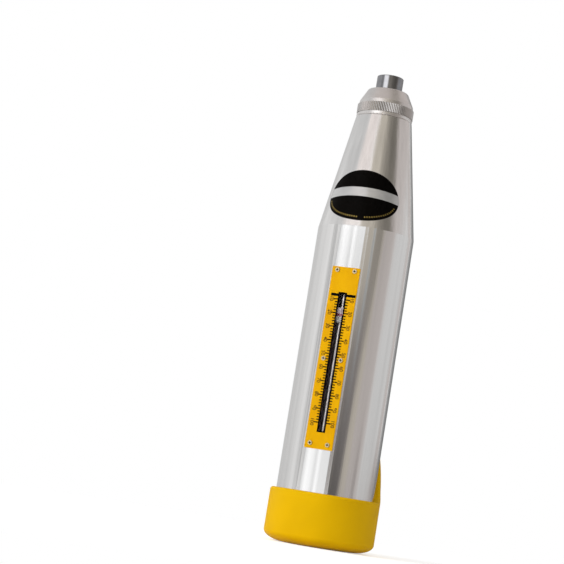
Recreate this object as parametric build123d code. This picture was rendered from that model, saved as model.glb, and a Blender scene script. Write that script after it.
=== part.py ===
from build123d import *
import math
import os

# Spring rebound hammer for masonry, in millimetres. Z runs along its axis, with the plunger on top.
# The scale faces -Y and the lock button +Y. The carriage (rod, flange and plunger) is drawn pushed
# in and locked, the hammer mass rests at its zero, and the pointer stands at its last reading.

# Stroke and scale
STROKE = 75.0                 # travel of the hammer mass, and of the carriage
SCALE_UNITS = 100             # scale units over the whole stroke
FIRST_MARK = 10               # lowest numbered mark
LAST_MARK = 100               # highest numbered mark
SHOWN_READING = 21            # reading at which the pointer stands

# Case
BODY_DIAMETER = 54.0
BODY_WALL = 6.5
NOSE_DIAMETER = 31.8          # small end of the cone
CONE_LENGTH = 65.7
NECK_DIAMETER = 25.0          # threaded neck under the front cap
NECK_LENGTH = 8.8
GUIDE_LENGTH = 5.9            # plunger guide inside the neck
BORE_OVERRUN = 2.3            # main bore beyond the hammer mass
COIL_BORE_ROOM = 1.2          # around the impact spring
FLAT_WIDTH = 16.0             # milled flat that carries the scale plate
FLAT_UNDER_BOOT = 5.0
FLAT_BEVEL = 1.0              # its long edges are broken this far in

# Tail cover and its zero screw
TAIL_DISC = 11.0
TAIL_SPIGOT = 10.0
TAIL_CHAMFER = 1.0
SPRING_FLOOR = 7.0            # return spring's seat above the cover's rear face
TAIL_BOSS_DIAMETER = 16.0
SCREW_DIAMETER = 6.0
SCREW_SINK = 0.6              # slotted end below the cover's rear face
SCREW_SLOT = 1.0
NUT_ACROSS_FLATS = 10.0
NUT_THICKNESS = 3.2
NUT_POCKET_DEPTH = 4.5
NUT_POCKET_DIAMETER = 16.0

# Carriage
RETURN_SPRING_LENGTH = 31.0   # squeezed, as drawn
RETURN_SPRING_DIAMETER = 31.0
RETURN_SPRING_WIRE = 1.6
RETURN_SPRING_TURNS = 9
FLANGE_THICKNESS = 9.0
ROD_DIAMETER = 7.0
ROD_SETBACK = 1.8             # rod's rear end above the flange's rear face
ROD_ENGAGEMENT = 22.0         # rod's length inside the plunger

# Hook on the flange
HOOK_WIDTH = 4.0
HOOK_ARM = 3.6
HOOK_TAIL_DROP = 5.0          # tail's rear face behind the flange
HOOK_TAIL_THICKNESS = 2.6
HOOK_TAIL_REACH = 1.5         # tail past the axis
HOOK_RAMP = 1.3               # flat part of the barb's nose, below its ramp
HOOK_SLOT_ROOM = 1.3          # play for the swinging arm, each side
HOOK_TRIP_GAP = 0.3           # tail to the zero screw
HOOK_PIN_DIAMETER = 2.0
HOOK_PIN_LENGTH = 16.0
HOOK_SPRING_DIAMETER = 2.0
HOOK_SPRING_WIRE = 0.4
HOOK_SPRING_TURNS = 6
HOOK_SPRING_POCKET = 5.0
HOOK_SPRING_PLACE = 6.0       # from the axis
HOOK_SPRING_PLAY = 1.5        # above the tail, which lifts as the hook opens

# Hammer mass
HAMMER_DIAMETER = 30.0
RIM_DIAMETER = 18.0           # rear rim that the hook holds
RIM_THICKNESS = 3.0
RIM_GAP = 0.6                 # rim to the flange when hooked
HAMMER_NECK_DIAMETER = 12.0
HAMMER_NECK_LENGTH = 4.5
HAMMER_BODY_LENGTH = 22.0
COIL_SPIGOT_DIAMETER = 21.2   # the impact spring's ends sit on these
HAMMER_SPIGOT_LENGTH = 5.6
HAMMER_CHAMFER = 0.6

# Impact spring and its seat
IMPACT_SPRING_DIAMETER = 23.2
IMPACT_SPRING_WIRE = 1.6
IMPACT_SPRING_TURNS = 17
SEAT_LENGTH = 16.0
SEAT_SPIGOT_LENGTH = 10.0
SEAT_DIAMETER = 26.0
SEAT_SETBACK = 2.7            # seat's front face behind the cone's end
HALF_RING_THICKNESS = 1.8
HALF_RING_WIDTH = 1.6
HALF_RING_SPLIT = 1.0

# Plunger
PLUNGER_DIAMETER = 15.0       # exposed tip
SHANK_DIAMETER = 14.6
COLLAR_DIAMETER = 18.0
COLLAR_LENGTH = 4.0
COLLAR_STOP_GAP = 0.6         # collar to its stop at full reach
TIP_LENGTH = 7.9
TIP_GAP = 0.5                 # tip above the cap
TIP_DOME_RADIUS = 25.0
TIP_EDGE = 0.4
BUFFER_TRAVEL = 3.0
BUFFER_GAP = 0.3
BUFFER_SPRING_LENGTH = 14.0
BUFFER_SPRING_DIAMETER = 5.2
BUFFER_SPRING_WIRE = 1.0
BUFFER_SPRING_TURNS = 7

# Front cap and felt seal
CAP_DIAMETER = 32.0
CAP_TOP_DIAMETER = 22.7
CAP_HEIGHT = 16.8
CAP_GAP = 0.2
CAP_FOOT = 2.3                # smooth ring below the knurl
CAP_FOOT_CHAMFER = 0.6
CAP_GROOVE = 0.4
CAP_BRIM = 2.1                # smooth ring above the knurl, where the taper starts
CAP_BRIM_DIAMETER = 30.3
CAP_BRIM_ROUND = 2.5
CAP_TOP_ROUND = 1.4
KNURL_LENGTH = 5.1
KNURL_DEPTH = 0.4
KNURL_PITCH = 1.45
KNURL_SLANT = 24.0            # degrees from the axis, to the left going up
FELT_DIAMETER = 19.8
FELT_THICKNESS = 3.2

# Scale plate, window and plate screws
PLATE_WIDTH = 15.7
PLATE_THICKNESS = 0.8
PLATE_HEAD = 17.9             # plate beyond its first and last numbered marks
PLATE_FOOT = 14.2
PLATE_CORNER = 0.5
PLATE_SLOT_WIDTH = 3.4
PLATE_SLOT_HEAD = 3.2         # slot beyond the same marks
PLATE_SLOT_FOOT = 4.4
WINDOW_WIDTH = 7.2
WINDOW_THICKNESS = 1.0
WINDOW_LAP = 2.5              # window beyond the case's slot, each end
PLATE_SCREW_SPACING = 9.8
PLATE_SCREW_FOOT_INSET = 2.8  # screws from the plate's ends
PLATE_SCREW_HEAD_INSET = 1.9
PLATE_SCREW_MIDDLE_DROP = 1.0  # middle pair below the plate's middle
PLATE_SCREW_DIAMETER = 1.6
PLATE_SCREW_LENGTH = 3.5      # in the case
PLATE_SCREW_HEAD = 2.5
PLATE_SCREW_HEAD_HEIGHT = 0.55
PLATE_SCREW_CROSS = 0.5
PLATE_SCREW_CROSS_SPAN = 1.5
PLATE_SCREW_CROSS_DEPTH = 0.35

# Pointer
POINTER_SHAFT_DIAMETER = 1.6
POINTER_SHAFT_DEPTH = 3.4     # shaft's axis under the flat
POINTER_SHAFT_SEAT = 8.0      # shaft's hold beyond the slot
POINTER_LENGTH = 8.0
POINTER_WIDTH = 4.4
POINTER_PLAY = 0.3            # each side in the case's slot
POINTER_END_ROOM = 1.2        # beyond the pointer's travel
POINTER_UNDER_WINDOW = 0.2
LEAF_WIDTH = 2.4
LEAF_THICKNESS = 0.4
LEAF_LAP = 3.0                # leaf above the pointer's line
TONGUE_DROP = 8.1             # pointer's line above the leaf's tongue
TONGUE_CLEARANCE = 0.4        # tongue to the hammer mass
FLANGE_NOTCH_ROOM = 0.6       # around the tongue and the pointer block

# Lock button
BUTTON_TRAVEL = 2.5
BUTTON_KNOB_DIAMETER = 7.0
BUTTON_KNOB_PROUD = 3.0       # beyond the boot
BUTTON_KNOB_ROUND = 0.8
BUTTON_COLLAR_DIAMETER = 9.6
BUTTON_COLLAR_THICKNESS = 1.2
BUTTON_PIN_DIAMETER = 4.8
BUTTON_PIN_REST = 0.5         # pin's end outside the main bore
BUTTON_SPRING_ROOM = 4.6      # between the well's floor and the collar, button out
BUTTON_SPRING_DIAMETER = 7.2
BUTTON_SPRING_WIRE = 0.4
BUTTON_SPRING_TURNS = 2.5
BUSH_DIAMETER = 11.8
BUSH_SEAT = 1.8               # bush below the case's surface
BUSH_SINK = 0.3               # bush below the boot's surface
BUTTON_WELL = 3.6             # spring well below the bush
BOOT_HOLE_ROOM = 0.4

# Rubber boot
BOOT_FRONT_WALL = 2.35        # its outside stands a little behind the axis
BOOT_BACK_WALL = 4.35
BOOT_FLOOR = 3.0
BOOT_HEIGHT = 28.9
BOOT_FOOT_ROUND = 12.0        # oval rounding of the foot, inwards and upwards
BOOT_FOOT_RISE = 5.5
BOOT_RIM_ROUND = 1.6
TONGUE_RISE = 20.5            # boot's back tongue above the button
TONGUE_BASE = 10.8            # tongue's edges, behind the axis, at the rim and at the top
TONGUE_TOP = 24.2
TONGUE_BASE_ROUND = 12.0
TONGUE_TOP_ROUND = 6.0

# Label on the cone, cut flat and wrapped round it
LABEL_WIDTH = 44.4
LABEL_HEIGHT = 29.5
LABEL_RISE = 17.7             # label's middle above the cone's foot
LABEL_TURN = 2.5              # degrees to the right of the scale
LABEL_THICKNESS = 0.2
LABEL_POINTS = 24

# Fits
SLIDE_CLEARANCE = 0.1         # pieces that slide on one another
THREAD_CLEARANCE = 0.05       # screwed and pressed pieces
SKIN_CLEARANCE = 0.15         # boot on the case, clips in their grooves
LABEL_CLEARANCE = 0.02
CUT_MARGIN = 1.0              # cuts reach this far beyond what they cut away
SPRING_CLEARANCE = 0.2        # spring ends to their seats
HOOK_CLEARANCE = 0.3          # barb in the hammer mass's groove
BARB_CLEARANCE = 0.6          # hook's arm to the rim, barb's nose to the neck

# Radii that follow
body_radius = BODY_DIAMETER / 2
bore_radius = body_radius - BODY_WALL
nose_radius = NOSE_DIAMETER / 2
neck_radius = NECK_DIAMETER / 2
rod_radius = ROD_DIAMETER / 2
flange_radius = bore_radius - SLIDE_CLEARANCE
rim_radius = RIM_DIAMETER / 2
hammer_radius = HAMMER_DIAMETER / 2
coil_outer = (IMPACT_SPRING_DIAMETER + IMPACT_SPRING_WIRE) / 2
coil_bore = coil_outer + COIL_BORE_ROOM
seat_radius = SEAT_DIAMETER / 2
half_ring_inner = seat_radius - SKIN_CLEARANCE
half_ring_outer = half_ring_inner + HALF_RING_WIDTH
shank_radius = SHANK_DIAMETER / 2
tip_radius = PLUNGER_DIAMETER / 2
collar_radius = COLLAR_DIAMETER / 2
collar_bore = collar_radius + 2 * SLIDE_CLEARANCE
cap_radius = CAP_DIAMETER / 2
boot_inner = body_radius + SKIN_CLEARANCE
boot_radius = boot_inner + (BOOT_FRONT_WALL + BOOT_BACK_WALL) / 2
boot_shift = (BOOT_BACK_WALL - BOOT_FRONT_WALL) / 2
boot_back = boot_radius + boot_shift

# Heights that follow, from the boot's foot to the plunger's tip
tail_z = BOOT_FLOOR
case_z = tail_z + TAIL_DISC
spring_z = tail_z + SPRING_FLOOR
flange_z = spring_z + RETURN_SPRING_LENGTH
flange_top = flange_z + FLANGE_THICKNESS
button_z = flange_z + FLANGE_THICKNESS / 2
rim_z = flange_top + STROKE + RIM_GAP
groove_z = rim_z + RIM_THICKNESS
shoulder_z = groove_z + HAMMER_NECK_LENGTH
spigot_z = shoulder_z + HAMMER_BODY_LENGTH
hammer_top = spigot_z + HAMMER_SPIGOT_LENGTH
plunger_z = hammer_top + BUFFER_TRAVEL + BUFFER_GAP
rod_top = plunger_z + ROD_ENGAGEMENT
stop_z = plunger_z + COLLAR_LENGTH + STROKE + COLLAR_STOP_GAP
neck_top = stop_z + GUIDE_LENGTH
nose_z = neck_top - NECK_LENGTH
cone_z = nose_z - CONE_LENGTH
seat_top = nose_z - SEAT_SETBACK
seat_z = seat_top - SEAT_LENGTH
half_ring_z = seat_z - HALF_RING_THICKNESS
bore_top = hammer_top + BORE_OVERRUN
cap_z = nose_z + CAP_GAP
cap_top = cap_z + CAP_HEIGHT
felt_z = neck_top + SPRING_CLEARANCE
tip_z = cap_top + TIP_GAP
tip_edge_z = tip_z + TIP_LENGTH
tip_top = tip_edge_z + TIP_DOME_RADIUS - math.sqrt(TIP_DOME_RADIUS ** 2 - tip_radius ** 2)


def mark_z(reading):
    """Height of a reading on the scale: the hammer mass's shoulder pushes the leaf's tongue."""
    return shoulder_z + TONGUE_DROP - reading * STROKE / SCALE_UNITS


# Places across the axis that follow
flat_y = math.sqrt(body_radius ** 2 - (FLAT_WIDTH / 2) ** 2)
plate_y = flat_y + PLATE_THICKNESS
window_y = flat_y - WINDOW_THICKNESS
shaft_y = flat_y - POINTER_SHAFT_DEPTH
pointer_face_y = window_y - POINTER_UNDER_WINDOW
pointer_back_y = bore_radius - SKIN_CLEARANCE
tongue_y = hammer_radius + TONGUE_CLEARANCE
plate_foot = mark_z(LAST_MARK) - PLATE_FOOT
plate_head = mark_z(FIRST_MARK) + PLATE_HEAD
slot_foot = mark_z(LAST_MARK) - POINTER_LENGTH / 2 - POINTER_END_ROOM
slot_head = mark_z(0) + POINTER_LENGTH / 2 + POINTER_END_ROOM
slot_half = POINTER_WIDTH / 2 + POINTER_PLAY
shaft_top = slot_head + POINTER_SHAFT_SEAT
bush_y = body_radius - BUSH_SEAT
bush_top = boot_back - BUSH_SINK
well_y = bush_y - BUTTON_WELL
collar_y = well_y + BUTTON_SPRING_ROOM
collar_top_y = collar_y + BUTTON_COLLAR_THICKNESS
pin_end_y = bore_radius + BUTTON_PIN_REST
arm_inner = rim_radius + BARB_CLEARANCE
arm_outer = arm_inner + HOOK_ARM
pivot_x = (arm_inner + arm_outer) / 2
barb_z = groove_z - STROKE + HOOK_CLEARANCE
barb_top = shoulder_z - STROKE - BARB_CLEARANCE
barb_inner = HAMMER_NECK_DIAMETER / 2 + BARB_CLEARANCE
hook_tail_z = flange_z - HOOK_TAIL_DROP
hook_tail_top = hook_tail_z + HOOK_TAIL_THICKNESS
hook_slot_inner = arm_inner - HOOK_SLOT_ROOM
hook_slot_outer = arm_outer + HOOK_SLOT_ROOM
hook_slot_half = HOOK_WIDTH / 2 + HOOK_CLEARANCE
plate_screw_heights = (
    plate_foot + PLATE_SCREW_FOOT_INSET,
    (plate_foot + plate_head) / 2 - PLATE_SCREW_MIDDLE_DROP,
    plate_head - PLATE_SCREW_HEAD_INSET,
)
plate_screw_places = [
    (side * PLATE_SCREW_SPACING / 2, height) for side in (-1, 1) for height in plate_screw_heights
]

FROM_BASE = (Align.CENTER, Align.CENTER, Align.MIN)


def turned(*points):
    """Solid turned about the axis from (radius, height) points."""
    outline = Polyline(*[(radius, 0, height) for radius, height in points], close=True)
    return revolve(make_face(outline), Axis.Z)


def post(radius, low, high, x=0, y=0):
    """Upright cylinder between two heights."""
    return Pos(x, y, low) * Cylinder(radius, high - low, align=FROM_BASE)


def back_post(radius, near, far, height):
    """Cylinder along +Y between two distances from the axis."""
    return Pos(0, near, height) * Rot(-90, 0, 0) * Cylinder(radius, far - near, align=FROM_BASE)


def front_post(radius, near, far, x, height):
    """Cylinder along -Y between two distances from the axis."""
    return Pos(x, -near, height) * Rot(90, 0, 0) * Cylinder(radius, far - near, align=FROM_BASE)


def block(x_limits, y_limits, z_limits):
    """Box between its limits."""
    sizes = [high - low for low, high in (x_limits, y_limits, z_limits)]
    middles = [(high + low) / 2 for low, high in (x_limits, y_limits, z_limits)]
    return Pos(*middles) * Box(*sizes)


def front_block(half_width, near, far, low, high):
    """Box on the scale side, between two distances from the axis."""
    return block((-half_width, half_width), (-far, -near), (low, high))


def coil(diameter, wire, low, high, turns):
    """Spring about Z whose wire fills the space between two heights."""
    rise = high - low - wire
    path = Helix(pitch=rise / turns, height=rise, radius=diameter / 2)
    section = Plane(origin=path @ 0, z_dir=path % 0) * Circle(wire / 2)
    return Pos(0, 0, low + wire / 2) * sweep(section, path=path, is_frenet=True)


def cone_radius(height):
    """Radius of the case's cone at a height."""
    return body_radius + (nose_radius - body_radius) * (height - cone_z) / CONE_LENGTH


def housing():
    guide_radius = shank_radius + SLIDE_CLEARANCE
    seat_bore = seat_radius + THREAD_CLEARANCE
    ring_groove = half_ring_outer + SKIN_CLEARANCE
    step_top = bore_top + bore_radius - coil_bore
    case = turned(
        (bore_radius, case_z), (body_radius, case_z), (body_radius, cone_z), (nose_radius, nose_z),
        (neck_radius, nose_z), (neck_radius, neck_top), (guide_radius, neck_top), (guide_radius, stop_z),
        (collar_bore, stop_z), (collar_bore, seat_top), (seat_bore, seat_top), (seat_bore, seat_z),
        (ring_groove, seat_z), (ring_groove, half_ring_z), (coil_bore, half_ring_z),
        (coil_bore, step_top), (bore_radius, bore_top),
    )
    flat_z = BOOT_HEIGHT - FLAT_UNDER_BOOT
    case -= front_block(body_radius, flat_y, body_radius + CUT_MARGIN, flat_z, cone_z)
    bevel = math.asin(FLAT_WIDTH / 2 / body_radius) / 2
    bevel_y = flat_y * math.cos(bevel) + (FLAT_WIDTH / 2 - FLAT_BEVEL) * math.sin(bevel)
    for turn in (-math.degrees(bevel), math.degrees(bevel)):
        edge = front_block(body_radius, bevel_y, body_radius + CUT_MARGIN, flat_z, cone_z)
        case -= Rot(0, 0, turn) * edge
    pocket_half = WINDOW_WIDTH / 2 + THREAD_CLEARANCE
    pocket_lap = WINDOW_LAP + THREAD_CLEARANCE
    case -= front_block(pocket_half, window_y, body_radius, slot_foot - pocket_lap, slot_head + pocket_lap)
    case -= front_block(slot_half, 0, window_y, slot_foot, slot_head)
    shaft_hole = POINTER_SHAFT_DIAMETER / 2 + THREAD_CLEARANCE
    case -= post(shaft_hole, case_z, shaft_top + SPRING_CLEARANCE, y=-shaft_y)
    screw_hole = PLATE_SCREW_DIAMETER / 2 + THREAD_CLEARANCE
    for x, height in plate_screw_places:
        case -= front_post(screw_hole, flat_y - PLATE_SCREW_LENGTH - SPRING_CLEARANCE, body_radius, x, height)
    case -= back_post(BUSH_DIAMETER / 2 + THREAD_CLEARANCE, well_y, body_radius, button_z)
    case -= back_post(BUTTON_PIN_DIAMETER / 2 + SLIDE_CLEARANCE, 0, well_y, button_z)
    return case


def knurled_band(low, high):
    """Ring of slanted teeth: a toothed outline drawn upwards with a twist."""
    teeth = round(math.pi * CAP_DIAMETER / KNURL_PITCH)
    lean = (high - low) * math.tan(math.radians(KNURL_SLANT)) / cap_radius
    corners = []
    for step in range(2 * teeth):
        radius = cap_radius - (step % 2) * KNURL_DEPTH
        angle = math.pi * step / teeth
        corners.append((radius * math.cos(angle), radius * math.sin(angle), low))
    outline = make_face(Polyline(*corners, close=True)).face()
    return Solid.extrude_linear_with_rotation(outline, (0, 0, low), (0, 0, high - low), -math.degrees(lean))


def front_cap():
    thread_radius = neck_radius + THREAD_CLEARANCE
    felt_radius = FELT_DIAMETER / 2 + SKIN_CLEARANCE
    tip_hole = tip_radius + 2 * SLIDE_CLEARANCE
    felt_top = felt_z + FELT_THICKNESS + SPRING_CLEARANCE
    core_radius = cap_radius - KNURL_DEPTH - CAP_GROOVE
    shoulder_radius = cap_radius - KNURL_DEPTH - CAP_GROOVE / 2
    foot_radius = cap_radius - CAP_GROOVE / 2
    foot_top = cap_z + CAP_FOOT - CAP_GROOVE
    knurl_z = cap_z + CAP_FOOT
    knurl_top = knurl_z + KNURL_LENGTH
    brim_top = knurl_top + CAP_BRIM
    cap = turned(
        (tip_hole, cap_top), (CAP_TOP_DIAMETER / 2, cap_top), (CAP_BRIM_DIAMETER / 2, brim_top),
        (shoulder_radius, knurl_top), (core_radius, knurl_top),
        (core_radius, foot_top), (foot_radius, foot_top), (foot_radius, cap_z + CAP_FOOT_CHAMFER),
        (foot_radius - CAP_FOOT_CHAMFER, cap_z), (tip_hole, cap_z),
    )
    top_edge = cap.edges().filter_by(GeomType.CIRCLE).group_by(Axis.Z)[-1].sort_by(SortBy.RADIUS)[-1]
    cap = fillet(top_edge, CAP_TOP_ROUND)
    brim_edge = cap.edges().filter_by(GeomType.CIRCLE).filter_by_position(Axis.Z, brim_top, brim_top)
    cap = fillet(brim_edge, CAP_BRIM_ROUND)
    cap += knurled_band(knurl_z, knurl_top)
    cap -= post(thread_radius, cap_z, felt_z)
    cap -= post(felt_radius, felt_z, felt_top)
    cap -= post(tip_hole, cap_z, cap_top)
    return cap


def felt_seal():
    inner = shank_radius + SLIDE_CLEARANCE
    outer = FELT_DIAMETER / 2
    top = felt_z + FELT_THICKNESS
    return turned((inner, felt_z), (outer, felt_z), (outer, top), (inner, top))


def spring_seat():
    spigot_radius = COIL_SPIGOT_DIAMETER / 2
    spigot_end = seat_z - SEAT_SPIGOT_LENGTH
    return turned(
        (collar_bore, seat_top), (seat_radius, seat_top), (seat_radius, seat_z),
        (spigot_radius, seat_z), (spigot_radius, spigot_end), (collar_bore, spigot_end),
    )


def retaining_half_rings():
    ring = turned(
        (half_ring_inner, half_ring_z), (half_ring_outer, half_ring_z),
        (half_ring_outer, seat_z), (half_ring_inner, seat_z),
    )
    split = HALF_RING_SPLIT / 2
    return ring - block((-split, split), (-seat_radius * 2, seat_radius * 2), (half_ring_z, seat_z))


def impact_spring():
    low = spigot_z + SPRING_CLEARANCE
    high = seat_z - SPRING_CLEARANCE
    return coil(IMPACT_SPRING_DIAMETER, IMPACT_SPRING_WIRE, low, high, IMPACT_SPRING_TURNS)


def plunger():
    bore = rod_radius + SLIDE_CLEARANCE
    bore_end = rod_top + BUFFER_SPRING_LENGTH
    collar_end = plunger_z + COLLAR_LENGTH
    steps = Polyline(
        (0, 0, tip_top), (0, 0, bore_end), (bore, 0, bore_end), (bore, 0, plunger_z),
        (collar_radius, 0, plunger_z), (collar_radius, 0, collar_end), (shank_radius, 0, collar_end),
        (shank_radius, 0, tip_z), (tip_radius, 0, tip_z), (tip_radius, 0, tip_edge_z),
    )
    half_angle = math.asin(tip_radius / TIP_DOME_RADIUS) / 2
    dome_centre = tip_top - TIP_DOME_RADIUS
    dome_middle = (
        TIP_DOME_RADIUS * math.sin(half_angle), 0, dome_centre + TIP_DOME_RADIUS * math.cos(half_angle),
    )
    dome = ThreePointArc((tip_radius, 0, tip_edge_z), dome_middle, (0, 0, tip_top))
    striker = revolve(make_face(steps + dome), Axis.Z)
    edge = striker.edges().filter_by(GeomType.CIRCLE).filter_by_position(Axis.Z, tip_edge_z, tip_edge_z)
    return fillet(edge, TIP_EDGE)


def buffer_spring():
    low = rod_top + SPRING_CLEARANCE
    high = rod_top + BUFFER_SPRING_LENGTH - SPRING_CLEARANCE
    return coil(BUFFER_SPRING_DIAMETER, BUFFER_SPRING_WIRE, low, high, BUFFER_SPRING_TURNS)


def hammer_mass():
    bore = rod_radius + SLIDE_CLEARANCE
    neck = HAMMER_NECK_DIAMETER / 2
    spigot = COIL_SPIGOT_DIAMETER / 2
    edge = HAMMER_CHAMFER
    return turned(
        (bore, rim_z), (rim_radius - edge, rim_z), (rim_radius, rim_z + edge), (rim_radius, groove_z),
        (neck, groove_z), (neck, shoulder_z), (hammer_radius - edge, shoulder_z),
        (hammer_radius, shoulder_z + edge), (hammer_radius, spigot_z - edge),
        (hammer_radius - edge, spigot_z), (spigot, spigot_z), (spigot, hammer_top), (bore, hammer_top),
    )


def guide_rod():
    rod = post(rod_radius, flange_z + ROD_SETBACK, rod_top)
    return chamfer(rod.edges().group_by(Axis.Z)[-1], HAMMER_CHAMFER)


def guide_flange():
    flange = post(flange_radius, flange_z, flange_top)
    flange -= post(rod_radius + THREAD_CLEARANCE, flange_z, flange_top)
    slot_y = (-hook_slot_half, hook_slot_half)
    flange -= block((hook_slot_inner, hook_slot_outer), slot_y, (flange_z, flange_top))
    relief_end = -HOOK_TAIL_REACH - 2 * HOOK_SLOT_ROOM
    flange -= block((relief_end, hook_slot_outer), slot_y, (flange_z, flange_z + ROD_SETBACK))
    flange -= Pos(pivot_x, 0, button_z) * Rot(90, 0, 0) * Cylinder(
        HOOK_PIN_DIAMETER / 2 + THREAD_CLEARANCE, HOOK_PIN_LENGTH + 2 * SPRING_CLEARANCE)
    pocket_radius = (HOOK_SPRING_DIAMETER + HOOK_SPRING_WIRE) / 2 + HOOK_CLEARANCE
    flange -= post(pocket_radius, flange_z, flange_z + HOOK_SPRING_POCKET, x=HOOK_SPRING_PLACE)
    notch_half = POINTER_WIDTH / 2 + FLANGE_NOTCH_ROOM
    flange -= front_block(notch_half, tongue_y - FLANGE_NOTCH_ROOM, bore_radius, flange_z, flange_top)
    lock_end = pin_end_y - BUTTON_TRAVEL - FLANGE_NOTCH_ROOM
    flange -= back_post(BUTTON_PIN_DIAMETER / 2 + HOOK_CLEARANCE, lock_end, bore_radius, button_z)
    return flange


def hook():
    profile = Polyline(
        (-HOOK_TAIL_REACH, 0, hook_tail_z), (arm_outer, 0, hook_tail_z), (arm_outer, 0, barb_top),
        (arm_inner, 0, barb_top), (barb_inner, 0, barb_z + HOOK_RAMP), (barb_inner, 0, barb_z),
        (arm_inner, 0, barb_z), (arm_inner, 0, hook_tail_top), (-HOOK_TAIL_REACH, 0, hook_tail_top),
        close=True,
    )
    lever = extrude(make_face(profile), amount=HOOK_WIDTH / 2, both=True)
    eye = Cylinder(HOOK_PIN_DIAMETER / 2 + THREAD_CLEARANCE, HOOK_WIDTH * 2)
    return lever - Pos(pivot_x, 0, button_z) * Rot(90, 0, 0) * eye


def hook_pin():
    return Pos(pivot_x, 0, button_z) * Rot(90, 0, 0) * Cylinder(HOOK_PIN_DIAMETER / 2, HOOK_PIN_LENGTH)


def hook_spring():
    low = hook_tail_top + HOOK_SPRING_PLAY
    high = flange_z + HOOK_SPRING_POCKET - SPRING_CLEARANCE
    spring = coil(HOOK_SPRING_DIAMETER, HOOK_SPRING_WIRE, low, high, HOOK_SPRING_TURNS)
    return Pos(HOOK_SPRING_PLACE, 0, 0) * spring


def return_spring():
    low = spring_z + SPRING_CLEARANCE
    high = flange_z - SPRING_CLEARANCE
    return coil(RETURN_SPRING_DIAMETER, RETURN_SPRING_WIRE, low, high, RETURN_SPRING_TURNS)


def tail_cover():
    screw_hole = SCREW_DIAMETER / 2 + THREAD_CLEARANCE
    boss = TAIL_BOSS_DIAMETER / 2
    spigot = bore_radius - THREAD_CLEARANCE
    cup = (RETURN_SPRING_DIAMETER + RETURN_SPRING_WIRE) / 2 + HOOK_CLEARANCE
    pocket = NUT_POCKET_DIAMETER / 2
    pocket_z = tail_z + NUT_POCKET_DEPTH
    spigot_top = case_z + TAIL_SPIGOT
    return turned(
        (pocket, tail_z), (body_radius - TAIL_CHAMFER, tail_z), (body_radius, tail_z + TAIL_CHAMFER),
        (body_radius, case_z), (spigot, case_z), (spigot, spigot_top), (cup, spigot_top), (cup, spring_z),
        (boss, spring_z), (boss, spigot_top), (screw_hole, spigot_top), (screw_hole, pocket_z),
        (pocket, pocket_z),
    )


def zero_screw():
    low = tail_z + SCREW_SINK
    screw = post(SCREW_DIAMETER / 2, low, hook_tail_z - HOOK_TRIP_GAP)
    screw = chamfer(screw.edges().group_by(Axis.Z)[-1], HAMMER_CHAMFER)
    half = SCREW_SLOT / 2
    return screw - block((-SCREW_DIAMETER, SCREW_DIAMETER), (-half, half), (low, low + SCREW_SLOT))


def zero_lock_nut():
    seat = tail_z + NUT_POCKET_DEPTH
    hexagon = RegularPolygon(NUT_ACROSS_FLATS / 2, 6, major_radius=False)
    nut = Pos(0, 0, seat - NUT_THICKNESS) * extrude(hexagon, NUT_THICKNESS)
    return nut - post(SCREW_DIAMETER / 2 + THREAD_CLEARANCE, tail_z, seat)


def pointer_shaft():
    return post(POINTER_SHAFT_DIAMETER / 2, case_z + SPRING_CLEARANCE, shaft_top, y=-shaft_y)


def pointer_block():
    line = mark_z(SHOWN_READING)
    half = POINTER_LENGTH / 2
    slider = front_block(POINTER_WIDTH / 2, pointer_back_y, pointer_face_y, line - half, line + half)
    hole = POINTER_SHAFT_DIAMETER / 2 + THREAD_CLEARANCE
    return slider - post(hole, line - half, line + half, y=-shaft_y)


def pointer_leaf():
    half = LEAF_WIDTH / 2
    line = mark_z(SHOWN_READING)
    tongue_z = line - TONGUE_DROP
    back = pointer_back_y - LEAF_THICKNESS
    strip = front_block(half, back, pointer_back_y, tongue_z - LEAF_THICKNESS, line + LEAF_LAP)
    return strip + front_block(half, tongue_y, pointer_back_y, tongue_z - LEAF_THICKNESS, tongue_z)


def scale_plate():
    plate = front_block(PLATE_WIDTH / 2, flat_y, plate_y, plate_foot, plate_head)
    plate = fillet(plate.edges().filter_by(Axis.Y), PLATE_CORNER)
    slot_low = mark_z(LAST_MARK) - PLATE_SLOT_FOOT
    slot_high = mark_z(FIRST_MARK) + PLATE_SLOT_HEAD
    plate -= front_block(PLATE_SLOT_WIDTH / 2, flat_y, plate_y, slot_low, slot_high)
    for x, height in plate_screw_places:
        plate -= front_post(PLATE_SCREW_DIAMETER / 2 + SLIDE_CLEARANCE, flat_y, plate_y, x, height)
    return plate


def scale_window():
    return front_block(WINDOW_WIDTH / 2, window_y, flat_y, slot_foot - WINDOW_LAP, slot_head + WINDOW_LAP)


def plate_screw(x, height):
    face = plate_y + PLATE_SCREW_HEAD_HEIGHT
    head = front_post(PLATE_SCREW_HEAD / 2, plate_y, face, x, height)
    head = fillet(head.edges().group_by(Axis.Y)[0], PLATE_SCREW_HEAD_HEIGHT / 2)
    screw = head + front_post(PLATE_SCREW_DIAMETER / 2, flat_y - PLATE_SCREW_LENGTH, plate_y, x, height)
    long, short = PLATE_SCREW_CROSS_SPAN / 2, PLATE_SCREW_CROSS / 2
    for across, up in ((long, short), (short, long)):
        cross = front_block(across, face - PLATE_SCREW_CROSS_DEPTH, face, height - up, height + up)
        screw -= Pos(x, 0, 0) * cross
    return screw


def scale_screws():
    return Compound([plate_screw(x, height) for x, height in plate_screw_places])


def lock_button():
    knob_end = boot_back + BUTTON_KNOB_PROUD
    knob = back_post(BUTTON_KNOB_DIAMETER / 2, collar_top_y, knob_end, button_z)
    knob = fillet(knob.edges().group_by(Axis.Y)[-1], BUTTON_KNOB_ROUND)
    collar = back_post(BUTTON_COLLAR_DIAMETER / 2, collar_y, collar_top_y, button_z)
    return knob + collar + back_post(BUTTON_PIN_DIAMETER / 2, pin_end_y, collar_y, button_z)


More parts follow.
